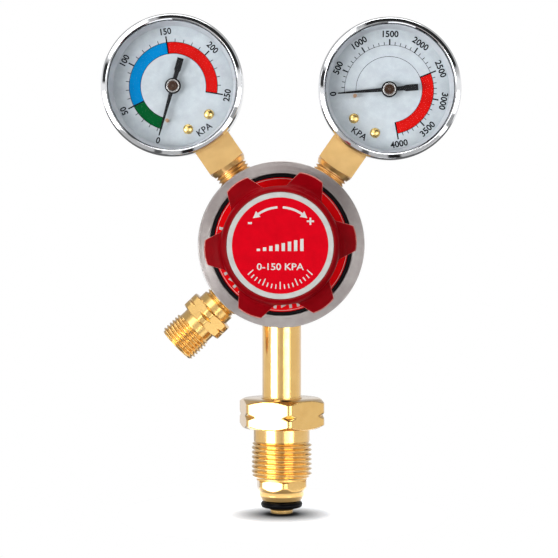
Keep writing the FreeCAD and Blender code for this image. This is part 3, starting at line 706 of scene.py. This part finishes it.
def make_knob():
    """Lobed knob: recess for the badge, sloped shoulder, scooped lobe faces, hollow back."""
    theta = angles(360)
    edge = knob_edge(theta)
    rows = []
    # Per-row amount of the paler rim colour: partly rubbed plastic, partly a painted highlight
    # along the rounded rim.
    wear_and_sheen = []

    def row(z, r, worn_and_lit=0.0):
        rows.append((z, r))
        wear_and_sheen.append(np.broadcast_to(np.asarray(worn_and_lit, float), theta.shape))

    recess = KNOB_FRONT - 0.5
    shoulder_foot = 21.25
    row(recess, 0.0)
    row(recess, 18.9)
    row(recess, 19.04)
    row(KNOB_FRONT - 0.1, 19.05)
    row(KNOB_FRONT, 19.12, 0.1)
    row(KNOB_FRONT, 19.3, 0.1)
    for t in np.linspace(0.1, 1, 7):
        radius = 19.3 + (shoulder_foot - 19.3) * math.sin(t * math.pi / 2)
        height = KNOB_FRONT - 2.9 * (1 - math.cos(t * math.pi / 2))
        row(height, radius)
    face_start = shoulder_foot - 0.05
    for t in np.linspace(0.06, 0.94, 12):
        radius = face_start + (edge - face_start) * t
        drop = lobe_face_height(radius)
        row(np.minimum(KNOB_FRONT - 2.95, drop), np.minimum(radius, edge - 0.02))
    rim = lobe_face_height(edge)
    for t in np.linspace(0, 1, 5):
        turn = t * math.pi / 2
        row(rim - 0.55 * (1 - math.cos(turn)) - 0.05, edge - 0.55 * (1 - math.sin(turn)), 1.0)
    row(rim - 0.75, edge, 0.9)
    row(rim - 1.1, edge, 0.0)
    for t in np.linspace(0.2, 1, 4):
        row(rim - 1.1 + (KNOB_BACK + 0.4 - rim + 1.1) * t, edge)
    row(KNOB_BACK + 0.1, edge - 0.12, 0.7)
    row(KNOB_BACK, edge - 0.4, 0.6)
    row(KNOB_BACK, 18.5)
    row(KNOB_BACK + 0.2, 18.3)
    row(KNOB_ROOF - 0.4, 18.3)
    row(KNOB_ROOF, 17.9)
    row(KNOB_ROOF, 0.0)
    points, faces = rings(rows, theta)
    knob = piece("knob_red", [(points, faces)], FRONT, KNOB_PLASTIC, "knob", "knob")
    values = []
    for (z, r), worn_and_lit in zip(rows, wear_and_sheen):
        single = np.max(np.asarray(r)) < 1e-6
        values.append(worn_and_lit[:1] if single else worn_and_lit)
    attribute = knob.data.attributes.new("wear_and_sheen", "FLOAT", "POINT")
    attribute.data.foreach_set("value", np.concatenate(values).astype(np.float32))


def lobe_face_height(radius):
    """Height of the lobes' faces: a scoop beside the shoulder, then a gentle slope to the tip."""
    out = np.clip((np.asarray(radius, float) - 21.2) / (KNOB_TIP - 21.2), 0, 1)
    return 45.6 - 1.5 * (1 - np.exp(-out / 0.12)) - 1.3 * out


def make_badge():
    """Domed print on the knob: silver ring, red face, white setting range and turn arrows."""
    back, top = KNOB_FRONT - 0.5, KNOB_FRONT - 0.06
    rim = 17.1
    disc = [(back, 0.0), (back, 19.0, 0.05), (top, 19.0, 0.15), (top, 0.0)]
    silver = lathe(disc, 160)
    piece("badge_silver", [silver], FRONT, BADGE_SILVER, "knob", "knob_badge")
    face = [(top, 0.0), (top, rim, 0.02), (top + 0.03, rim, 0.02), (top + 0.03, 0.0)]
    piece("badge_red", [lathe(face, 160)], FRONT, BADGE_RED, "knob")
    low, high = top + 0.03, top + 0.06
    marks = [moved(letters("0-150 KPA", 2.35, low, high, 0.05, 1.12), 0, (0, -7.6, 0))]
    foot, half = -1.9, 0.6
    for k in range(8):
        x, height = -7.7 + 2.2 * k, 0.8 + 0.5 * k
        head = height + foot
        bar = [(x - half, foot), (x + half, foot), (x + half, head), (x - half, head)]
        marks.append(solid_prism(bar, low, high))
    for start, end, tip in ((55.4, 86, 52), (94, 124.6, 128)):
        marks.append(arc_band(13.2, 14.0, start, end, low, high))
        heading = tip - 90 if tip < 90 else tip + 90
        marks.append(moved(arrow_head(1.6, low, high), heading, (*polar(13.6, tip), 0)))
    marks.append(moved(letters("+", 3.4, low, high, 0.12), 0, (*polar(13.6, 38), 0)))
    marks.append(moved(letters("-", 3.4, low, high, 0.12), 0, (*polar(13.6, 142), 0)))
    for k in range(17):
        angle = 222 + 6 * k
        inner = 12.8 if k % 4 == 0 else 13.8
        marks.append(arc_band(inner, 15.4, angle - 0.8, angle + 0.8, low, high, 0.8))
    piece("badge_marks", marks, FRONT, PRINT_WHITE, "knob")


# ---- inlet stem ----

NUT_CORNER_TURN = -79.0
NIPPLE_CORNER_TURN = -82.5


def hex_rows(theta, flats, stock, corner_turn, low, high, notch=None):
    """Rows of a hexagon with turned 30 degree chamfers and, if wanted, notched corners."""
    face_radius = 0.97 * flats / 2
    slope = (stock - face_radius) * math.tan(math.radians(30))
    shape = hex_radius(theta, flats, corner_turn, stock)
    heights = list(np.linspace(low, low + slope, 8))
    heights += list(np.linspace(low + slope, high - slope, 41)[1:-1])
    heights += list(np.linspace(high - slope, high, 8))
    rows = []
    for z in heights:
        reach = face_radius + min(z - low, high - z) / math.tan(math.radians(30))
        radius = soft_min(shape, np.full_like(shape, reach), 0.10)
        if notch:
            middle_height, depth = notch
            bottom = np.full_like(shape, stock - depth + abs(z - middle_height))
            radius = soft_min(radius, bottom, 0.08)
        rows.append((z, radius))
    return rows


def thread_rows(theta, crest, pitch, low, high, hand=-1):
    """Rows of a helical thread that fades in and out over a chamfer at each end.

    Away from the ends each row climbs with the thread, and drops back every THREAD_STEP columns,
    so that crest and root stay on the mesh's own lines.
    """
    rows = []
    root = crest - THREAD_DEPTH * pitch
    column = np.arange(len(theta))
    turns = hand * column / len(theta)
    climb = hand * pitch / THREAD_SAMPLES * (column % THREAD_STEP) / THREAD_STEP
    count = int((high - low) / pitch * THREAD_SAMPLES)
    for k in range(count + 1):
        height = (high - low) * k / count
        inside = min(1.0, 2 * min(height, high - low - height) / pitch)
        z = height + inside * climb
        radius = thread_radius(turns, z, crest, pitch)
        near_end = np.minimum(z, high - low - z) / CHAMFER_LENGTH
        envelope = root + near_end * (crest - root) * CHAMFER_GAIN
        rows.append((low + z, np.minimum(radius, np.maximum(envelope, root))))
    return rows


def make_nut():
    low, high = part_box("inlet_nut")
    bottom, top = low.z / MM, high.z / MM
    thread = MOUNTS["inlet_nut_thread"]["dims"]
    crest, pitch = thread["r_mm"], 1.814
    thread_top, neck, hex_bottom, bore = 27.5, 10.7, 32.8, 7.7
    theta = corner_angles(NUT_CORNER_TURN)
    rows = [(bottom, bore + 0.15)]
    thread_start = len(rows)
    rows += thread_rows(theta, crest, pitch, bottom, thread_top)
    slants = [(thread_start, len(rows) - 1, -1)]
    rows += [(thread_top + 0.05, neck - 0.3), (thread_top + 0.3, neck), (thread_top + 0.4, neck)]
    rows += [(hex_bottom - 0.35, neck), (hex_bottom - 0.25, neck), (hex_bottom, neck + 0.15)]
    rows += hex_rows(theta, 30.0, 16.95, NUT_CORNER_TURN, hex_bottom, top, notch=(37.75, 1.1))
    rows += [(top, bore + 0.3), (top - 0.3, bore), (bottom + 0.15, bore)]
    spans = [(bottom + 0.01, thread_top)]
    nut = rings(rows, theta, slants)
    piece("nut_brass", [nut], STEM, BRASS, "inlet_nut", "inlet_nut", spans)


def make_nipple():
    """Nose with the O-ring's groove, a flared collar, and a hexagon whose corners are turned."""
    theta = corner_angles(NIPPLE_CORNER_TURN)
    low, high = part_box("inlet_nipple")
    bottom, top, collar_top, collar = low.z / MM, high.z / MM, 8.5, 8.66
    nose = rounded([
        (3.4, 1.5, 0), (bottom, 1.5, 0.1), (bottom, 3.8, 0.15), (0.0, 4.4, 0.2), (1.5, 4.4, 0.2),
        (1.9, 5.5, 0.2), (2.25, 5.9, 0.1), (2.25, 5.6, 0.05), (4.65, 5.6, 0.05), (4.65, 7.2, 0.1),
        (5.1, 7.6, 0.3), (6.9, collar, 0.8), (collar_top, collar, 0), (collar_top, 3.3, 0),
        (3.4, 3.3, 0),
    ])
    rows = [(z, r) for z, r in nose if r > 3.35 or z < 3.35]
    shape = hex_radius(theta, 18.0, NIPPLE_CORNER_TURN, 9.9)
    for z in np.linspace(collar_top + 0.02, top, 34):
        cone = collar + (z - collar_top) * 0.69
        edge = 9.4 + (top - z) * 1.7
        reach = min(cone, edge)
        rows.append((z, soft_min(shape, np.full_like(shape, reach), 0.12)))
    rows += [(top, 7.4), (9.4, 7.4), (9.4, 3.3), (3.4, 3.3)]
    piece("nipple_brass", [rings(rows, theta)], STEM, BRASS, "regulator", "inlet_nipple")


def make_stem_parts():
    low, high = (corner.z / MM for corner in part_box("inlet_tube"))
    tube = [(low, 3.5, 0), (low, 7.4, 0.1), (high, 7.4, 0.1), (high, 3.5, 0)]
    piece("tube_brass", [lathe(tube, 128)], STEM, BRASS, "regulator", "inlet_tube")
    low, high = (corner.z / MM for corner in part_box("nut_washer"))
    outline = [(low, 7.7, 0.1), (low, 9.6, 0.15), (high, 9.6, 0.15), (high, 7.7, 0.1)]
    washer = lathe(outline, 96)
    piece("washer_brass", [washer], STEM, BRASS_SATIN, "nut_washer", "nut_washer")
    low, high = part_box("inlet_o_ring")
    section = (high.z - low.z) / MM / 2
    mean = (high.x - low.x) / MM / 2 - section
    height = (high.z + low.z) / MM / 2
    rows = [(height + section * math.sin(a), mean + section * math.cos(a)) for a in angles(32)]
    ring = rings(rows, angles(128))
    piece("o_ring_black", [ring], STEM, BLACK_RUBBER, "regulator", "inlet_o_ring")


# ---- outlet ----

def make_outlet():
    """Drawn along +Z with a corner towards the viewer, which is -Y in a port's frame."""
    theta = corner_angles(-90.0)
    crest = MOUNTS["outlet_thread"]["dims"]["r_mm"]
    neck_end, hex_start, hex_end, thread_start, end = 33.0, 36.4, 42.8, 46.2, 55.6
    rows = [(25.0, 3.0)]
    rows += thread_rows(theta, 6.85, 1.337, 25.0, neck_end, 1)
    slants = [(1, len(rows) - 1, 1)]
    rows += [(neck_end + 0.1, 6.7), (neck_end + 0.4, 7.05), (neck_end + 0.5, 7.05)]
    rows += [(hex_start - 0.2, 7.05), (hex_start - 0.1, 7.05), (hex_start, 7.1)]
    rows += hex_rows(theta, 18.1, 9.75, -90.0, hex_start, hex_end, notch=(39.6, 0.6))
    rows += [(hex_end, 7.2), (hex_end + 0.1, 7.1), (hex_end + 0.2, 7.1)]
    rows += [(thread_start - 0.15, 7.1), (thread_start - 0.05, 7.1)]
    first = len(rows)
    rows += thread_rows(theta, crest, 1.4111, thread_start, end)
    slants.append((first, len(rows) - 1, -1))
    rows += [(end, 4.35), (end - 0.3, 4.0), (48.0, 4.0), (48.0, 3.0)]
    spans = [(25.01, neck_end), (thread_start + 0.01, end - 0.01)]
    piece(
        "outlet_brass", [rings(rows, theta, slants)], port(OUTLET_TURN), BRASS_OUTLET,
        "regulator", "outlet_fitting", spans,
    )


# ---- rear cap ----

def make_rear_cap():
    theta = corner_angles(0.0)
    flats, back, front = 20.0, -19.0, -13.0
    corner = flats / math.sqrt(3) - 0.2
    rows = [(back, 0.0), (back, 5.0)]
    rows += hex_rows(theta, flats, corner, 0.0, back, front) + [(front, 0.0)]
    piece("rear_cap_brass", [rings(rows, theta)], FRONT, BRASS, "regulator", "rear_cap")


# ---- gauges ----

DIAL_FRONT = 8.1
INK = 0.03


def tick(inner, outer, angle, width):
    half = width / 2
    bar = [(inner, -half), (outer, -half), (outer, half), (inner, half)]
    return moved(solid_prism(bar, DIAL_FRONT, DIAL_FRONT + INK), angle)


def dial_number(text, angle, radius, height, squeeze):
    """A number with its top outward, or inward where it would otherwise stand on its head."""
    part = letters(text, height, DIAL_FRONT, DIAL_FRONT + INK, 0.09, squeeze)
    heading = angle - 90 if 0 <= angle <= 225 else angle + 90
    return moved(part, heading, (*polar(radius, angle), 0))


MAJOR_END, MAJOR_WIDTH = 18.9, 0.52
MINOR_END, MINOR_WIDTH = 17.9, 0.26


def scale_marks(count, major_every, band_outer):
    """Minor and major ticks over 270 degrees, clockwise from 225; the zero has none."""
    marks = []
    for k in range(1, count + 1):
        angle = STOP_PIN_ANGLE - 270 * k / count
        if k % major_every == 0:
            marks.append(tick(band_outer, MAJOR_END, angle, MAJOR_WIDTH))
        else:
            marks.append(tick(band_outer, MINOR_END, angle, MINOR_WIDTH))
    return marks


def outline_band(inner, outer, start, end, colour_parts):
    """A coloured band with thin black rims; the colour goes to its own part list."""
    colour_parts.append(arc_band(inner, outer, start, end, DIAL_FRONT, DIAL_FRONT + 0.6 * INK))
    return [
        arc_band(inner - 0.1, inner + 0.1, start, end, DIAL_FRONT, DIAL_FRONT + INK),
        arc_band(outer - 0.1, outer + 0.1, start, end, DIAL_FRONT, DIAL_FRONT + INK),
    ]


def low_dial_print():
    inner, outer = 12.3, 16.6
    green, blue, red = [], [], []
    black = scale_marks(25, 5, outer)
    for colour, start, end in ((green, 219.5, 171), (blue, 171, 63), (red, 63, -45)):
        black += outline_band(inner, outer, start, end, colour)
    for angle in (171, 117, 63, -45):
            black.append(tick(inner if angle != 117 else outer, MAJOR_END, angle, MAJOR_WIDTH))
    for k, text in enumerate(("50", "100", "150", "200", "250")):
        black.append(dial_number(text, 171 - 54 * k, 20.6, 2.3, 0.94))
    black.append(dial_number("0", 218.6, 20.9, 2.3, 0.94))
    return {"black": black, "green": green, "blue": blue, "red": red}


def high_dial_print():
    inner, outer = 12.4, 16.7
    red = []
    black = scale_marks(40, 5, outer)
    for radius in (inner, outer):
        black.append(arc_band(radius - 0.08, radius + 0.08, 219, -45, DIAL_FRONT, DIAL_FRONT + INK))
    black += outline_band(inner, outer, 56.25, -45, red)
    for angle in (56.25, -45):
        black.append(tick(inner, MAJOR_END, angle, MAJOR_WIDTH))
    for k in range(1, 9):
        black.append(dial_number(str(500 * k), 225 - 33.75 * k, 20.7, 2.3, 1.0))
    black.append(dial_number("0", 218.6, 20.9, 2.3, 1.0))
    return {"black": black, "red": red}


def make_gauge(prefix, dial_print):
    centre = Vector((GAUGE_CENTRES[prefix].x, 0, GAUGE_CENTRES[prefix].z))
    lean = facing(centre, lean_of(prefix))
    turned = facing(centre, dial_turn_of(prefix))
    make_bezel(prefix, lean)
    make_lens(prefix, lean)
    make_dial(prefix, turned, dial_print)
    make_pointer(prefix, turned)


def make_bezel(prefix, place):
    outline = [
        (8.6, 25.9, 0.05), (8.6, 26.59, 0.3), (14.9, 26.59, 0.9), (16.5, 25.95, 0.4),
        (16.97, 24.6, 0.25), (16.4, 24.05, 0.4), (15.2, 23.8, 0.1), (15.2, 25.1, 0.05),
        (12.0, 25.1, 0.05), (12.0, 25.9, 0.05),
    ]
    bezel = lathe(outline, 192, steps=6)
    piece(
        prefix + "_bezel_chrome", [bezel], place, BEZEL_CHROME,
        "regulator", prefix + "_bezel",
    )


def make_lens(prefix, place):
    back, front = 13.2, 15.2
    dome = [(back, 0.0), (back, 25.1, 0.1), (front, 25.1, 0.1), (front, 23.6, 0.2)]
    dome += [(front + 0.25 * (1 - (r / 23.6) ** 2), r, 0) for r in (19.0, 14.0, 9.0, 4.5)]
    dome.append((front + 0.25, 0.0))
    lens = piece(
        prefix + "_lens_clear", [lathe(dome, 128)], place, LENS_GLASS,
        "regulator", prefix + "_lens",
    )
    lens.visible_shadow = False
    outline = [(8.1, 22.6, 0.1), (8.1, 25.1, 0.05), (13.2, 25.1, 0.05), (13.2, 23.9, 0.2)]
    piece(
        prefix + "_spacer_grey", [lathe(outline, 160)], place, GREY_RING,
        "regulator", prefix + "_spacer_ring",
    )


def make_dial(prefix, place, dial_print):
    disc = [(7.5, 1.6, 0.05), (7.5, 25.0, 0.05), (DIAL_FRONT, 25.0, 0.05), (DIAL_FRONT, 1.6, 0.05)]
    piece(
        prefix + "_dial_plate", [lathe(disc, 128)], place, DIAL_WHITE,
        "regulator", prefix + "_dial",
    )
    inks = {"black": INK_BLACK, "red": INK_RED, "green": INK_GREEN, "blue": INK_BLUE}
    unit = letters("KPA", 2.4, DIAL_FRONT, DIAL_FRONT + INK, 0.06, 1.0)
    dial_print["black"].append(moved(unit, 0, (0, -20.0, 0)))
    for colour, parts in dial_print.items():
        piece(prefix + "_print_" + colour, parts, place, inks[colour], "regulator")
    screws = []
    for x in (-4.8, 4.8):
        dome = [(8.1, 0.0), (8.1, 1.9)]
        dome += [(8.1 + 1.1 * math.sin(t), 1.9 * math.cos(t)) for t in np.linspace(0.1, 1.45, 12)]
        dome.append((9.2, 0.0))
        screws.append(moved(rings(dome, angles(48)), 0, (x, -16.3, 0)))
    piece(
        prefix + "_screws_brass", screws, place, BRASS_SCREW,
        "regulator", prefix + "_dial_screws",
    )


def make_pointer(prefix, place):
    """Tapered blade, squared tail and a round hub, with a metal boss on the hub."""
    low, high = 10.2, 10.6
    blade = [(2.0, -0.78), (19.0, -0.24), (19.5, 0.0), (19.0, 0.24), (2.0, 0.78)]
    tail = [
        (-2.0, 0.75), (-5.4, 0.85), (-6.2, 1.2), (-10.8, 1.2),
        (-10.8, -1.2), (-6.2, -1.2), (-5.4, -0.85), (-2.0, -0.75),
    ]
    hub = [(low, 1.2, 0.05), (low, 3.0, 0.1), (high + 0.2, 3.0, 0.15), (high + 0.2, 1.2, 0.05)]
    parts = [moved(solid_prism(shape, low, high), POINTER_REST) for shape in (blade, tail)]
    parts.append(lathe(hub, 64))
    body = prefix + "_pointer"
    piece(prefix + "_pointer_black", parts, place, POINTER_BLACK, body, body)
    boss = [
        (9.2, 0.5), (9.2, 1.2, 0.05), (10.8, 1.2, 0.05), (10.8, 2.45, 0.1), (11.2, 2.45, 0.12),
        (11.2, 2.1, 0.1), (11.0, 1.95, 0.05), (11.0, 0.5),
    ]
    piece(
        prefix + "_hub_silver", [lathe(boss, 64)], place, HUB_SILVER,
        body, prefix + "_pointer_boss",
    )
    cap = [
        (11.0, 0.5, 0.02), (11.0, 1.88, 0.02), (11.35, 1.8, 0.15), (11.5, 1.1, 0.15),
        (11.55, 0.5, 0.02),
    ]
    piece(prefix + "_hub_bronze", [lathe(cap, 64)], place, HUB_BRONZE, body)


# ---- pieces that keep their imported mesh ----

def paint(node, material):
    obj = frame["nodes"][node]
    obj.data.materials.clear()
    obj.data.materials.append(material)


def paint_packed_nodes():
    for node in ("seat_nozzle", "diaphragm_washer", "poppet"):
        paint(node, BRASS_INNER)
    for node in ("slip_ring", "diaphragm_plate", "valve_pin", "valve_spring"):
        paint(node, STEEL)
    for node in ("adjusting_screw", "spring_button"):
        paint(node, STEEL)
    for node in ("diaphragm", "rear_cap_o_ring"):
        paint(node, RUBBER_INNER)
    paint("poppet_seat", SEAT_PLASTIC)
    paint("inlet_filter", BRONZE)
    paint("body_forging", BRASS_BODY)
    for prefix in ("low", "high"):
        paint(prefix + "_case", CHROME_CASE)
        paint(prefix + "_socket", BRASS_SOCKET)
        paint(prefix + "_stop_pin", PIN_BROWN)
        for node in ("movement_frame", "sector_gear", "tip_link"):
            paint(prefix + "_" + node, BRASS_INNER)
        paint(prefix + "_pinion_shaft", SPINDLE_STEEL)
        paint(prefix + "_bourdon_tube", BRONZE)


# ---- floor, light and camera ----

FLOOR_RADIUS = 0.062
FLOOR_SIDES = 96
FLOOR_GAP = 0.0001              # metres below the part, so that the two don't share a plane


def make_floor():
    """White disc round the foot of the stem, with a painted contact shadow: darker where the part
    stands close over it.
    """
    mesh = bpy.data.meshes.new("floor")
    z = cad_box[0].z - FLOOR_GAP
    turns, reach = angles(FLOOR_SIDES), FLOOR_RADIUS
    edge = [(reach * math.cos(a), reach * math.sin(a), z) for a in turns]
    mesh.from_pydata(edge, [], [tuple(range(FLOOR_SIDES))])
    floor = bpy.data.objects.new("floor", mesh)
    bpy.context.scene.collection.objects.link(floor)
    material, tree, shader = new_material("floor_white")
    vector = add(tree, "ShaderNodeTexCoord").outputs["Object"]
    white = between(tree, noise(tree, vector, 3.0), 0.90, 0.92)
    # painted shadow: ambient occlusion darkens both the floor's colour and its glow near the part
    painted_contact_shadow = add(tree, "ShaderNodeAmbientOcclusion", samples=16)
    settle(painted_contact_shadow, Distance=0.017)
    power = add(tree, "ShaderNodeMath", operation="POWER")
    power.inputs[1].default_value = 2.9
    tree.links.new(painted_contact_shadow.outputs["AO"], power.inputs[0])
    shade = add(tree, "ShaderNodeVectorMath", operation="SCALE")
    tree.links.new(scaled(tree, white, (0.95, 0.98, 1.02)), shade.inputs[0])
    tree.links.new(power.outputs[0], shade.inputs["Scale"])
    feed(shader, "Base Color", shade.outputs[0])
    feed(shader, "Emission Color", shade.outputs[0])
    settle(shader, Emission_Strength=0.60, Roughness=0.9, IOR=1.1)
    mesh.materials.append(material)


# Soft boxes round the set, in degrees: (azimuth from, to, elevation from, to, edge softness,
# strength). Azimuth 0 is in front of the object and grows to the viewer's right.
SOFT_BOXES = [
    (-180, 180, -52, 91, 10, 0.27),
    (-180, 180, -15, 9, 4, 0.40),
    (-180, 180, 64, 91, 6, 3.8),
    (-62, -29, -18, -1.5, 2.5, 10.0),
    (17, 46, -18, -1.5, 5, 6.0),
]
ROOM = 0.22

# Boards that chrome and brass reflect: (position from, to, spread from, to, edge softness, factor
# on the light there), degrees. Position runs counter-clockwise round the line to the viewer from
# the viewer's right, and spread is the angle away from that line.
BOARDS = [
    (-180, 180, -1, 8, 4, 0.74),
    (24, 104, 14, 64, 4, 0.05),
    (-26, -15, 18, 66, 3, 0.05),
    (159, 171, 18, 62, 3, 0.05),
    (-86, -77, 14, 70, 3, 0.03),
    (-112, -107, 30, 70, 2, 0.2),
    (118, 150, 24, 50, 6, 6.0),
    (118, 152, 56, 72, 4, 1.9),
    (-62, -26, 54, 72, 5, 2.6),
    (-165, -25, 108, 150, 8, 0.25),
]


def math_node(tree, operation, *values):
    """A math node on sockets or plain numbers."""
    node = add(tree, "ShaderNodeMath", operation=operation)
    for k, value in enumerate(values):
        if isinstance(value, (int, float)):
            node.inputs[k].default_value = value
        else:
            tree.links.new(value, node.inputs[k])
    return node.outputs[0]


def window(tree, across, upward, left, right, low, high, soft):
    sideways = band(tree, across, math.radians(left), math.radians(right), math.radians(soft))
    lengthways = band(tree, upward, math.radians(low), math.radians(high), math.radians(soft))
    return math_node(tree, "MULTIPLY", sideways, lengthways)


def make_light():
    world = bpy.data.worlds.new("studio")
    bpy.context.scene.world = world
    world.use_nodes = True
    tree = world.node_tree
    background = tree.nodes["Background"]
    direction = add(tree, "ShaderNodeTexCoord").outputs["Generated"]
    split = add(tree, "ShaderNodeSeparateXYZ")
    tree.links.new(direction, split.inputs[0])
    right, up = split.outputs["X"], split.outputs["Z"]
    forward = math_node(tree, "MULTIPLY", split.outputs["Y"], -1.0)
    azimuth = math_node(tree, "ARCTAN2", right, forward)
    elevation = math_node(tree, "ARCSINE", up)
    position = math_node(tree, "ARCTAN2", up, right)
    spread = math_node(tree, "ARCCOSINE", forward)
    total = ROOM
    for *limits, strength in SOFT_BOXES:
        box = window(tree, azimuth, elevation, *limits)
        total = math_node(tree, "MULTIPLY_ADD", box, strength, total)
    for *limits, factor in BOARDS:
        board = window(tree, position, spread, *limits)
        kept = math_node(tree, "MULTIPLY_ADD", board, factor - 1.0, 1.0)
        total = math_node(tree, "MULTIPLY", total, kept)
    tree.links.new(total, background.inputs["Strength"])
    settle(background, Color=(1, 1, 1, 1))
    seen = add(tree, "ShaderNodeBackground")
    settle(seen, Color=(1, 1, 1, 1))
    mix = add(tree, "ShaderNodeMixShader")
    ray = add(tree, "ShaderNodeLightPath")
    tree.links.new(ray.outputs["Is Camera Ray"], mix.inputs["Fac"])
    tree.links.new(background.outputs[0], mix.inputs[1])
    tree.links.new(seen.outputs[0], mix.inputs[2])
    tree.links.new(mix.outputs[0], tree.nodes["World Output"].inputs["Surface"])


CAMERA_DISTANCE = 0.715
CAMERA_SIDE = 0.008
CAMERA_HEIGHT = 0.1109
PICTURE_WIDTH = 0.2124          # metres across the picture at the plane of the ports
AIM = (-0.00103, 0.0, 0.08939)


def make_camera():
    data = bpy.data.cameras.new("camera")
    camera = bpy.data.objects.new("camera", data)
    bpy.context.scene.collection.objects.link(camera)
    camera.location = (CAMERA_SIDE, -CAMERA_DISTANCE, CAMERA_HEIGHT)
    direction = Vector(AIM) - camera.location
    camera.rotation_euler = direction.to_track_quat("-Z", "Y").to_euler()
    data.sensor_width = 36.0
    data.lens = data.sensor_width * CAMERA_DISTANCE / PICTURE_WIDTH
    bpy.context.scene.camera = camera
    bpy.context.scene.view_settings.view_transform = "Standard"


make_camera()
make_light()
make_floor()
paint_packed_nodes()
make_ring()
make_bonnet()
make_label()
make_main_spring()
make_knob()
make_badge()
make_nut()
make_nipple()
make_stem_parts()
make_outlet()
make_rear_cap()
make_gauge("low", low_dial_print())
make_gauge("high", high_dial_print())
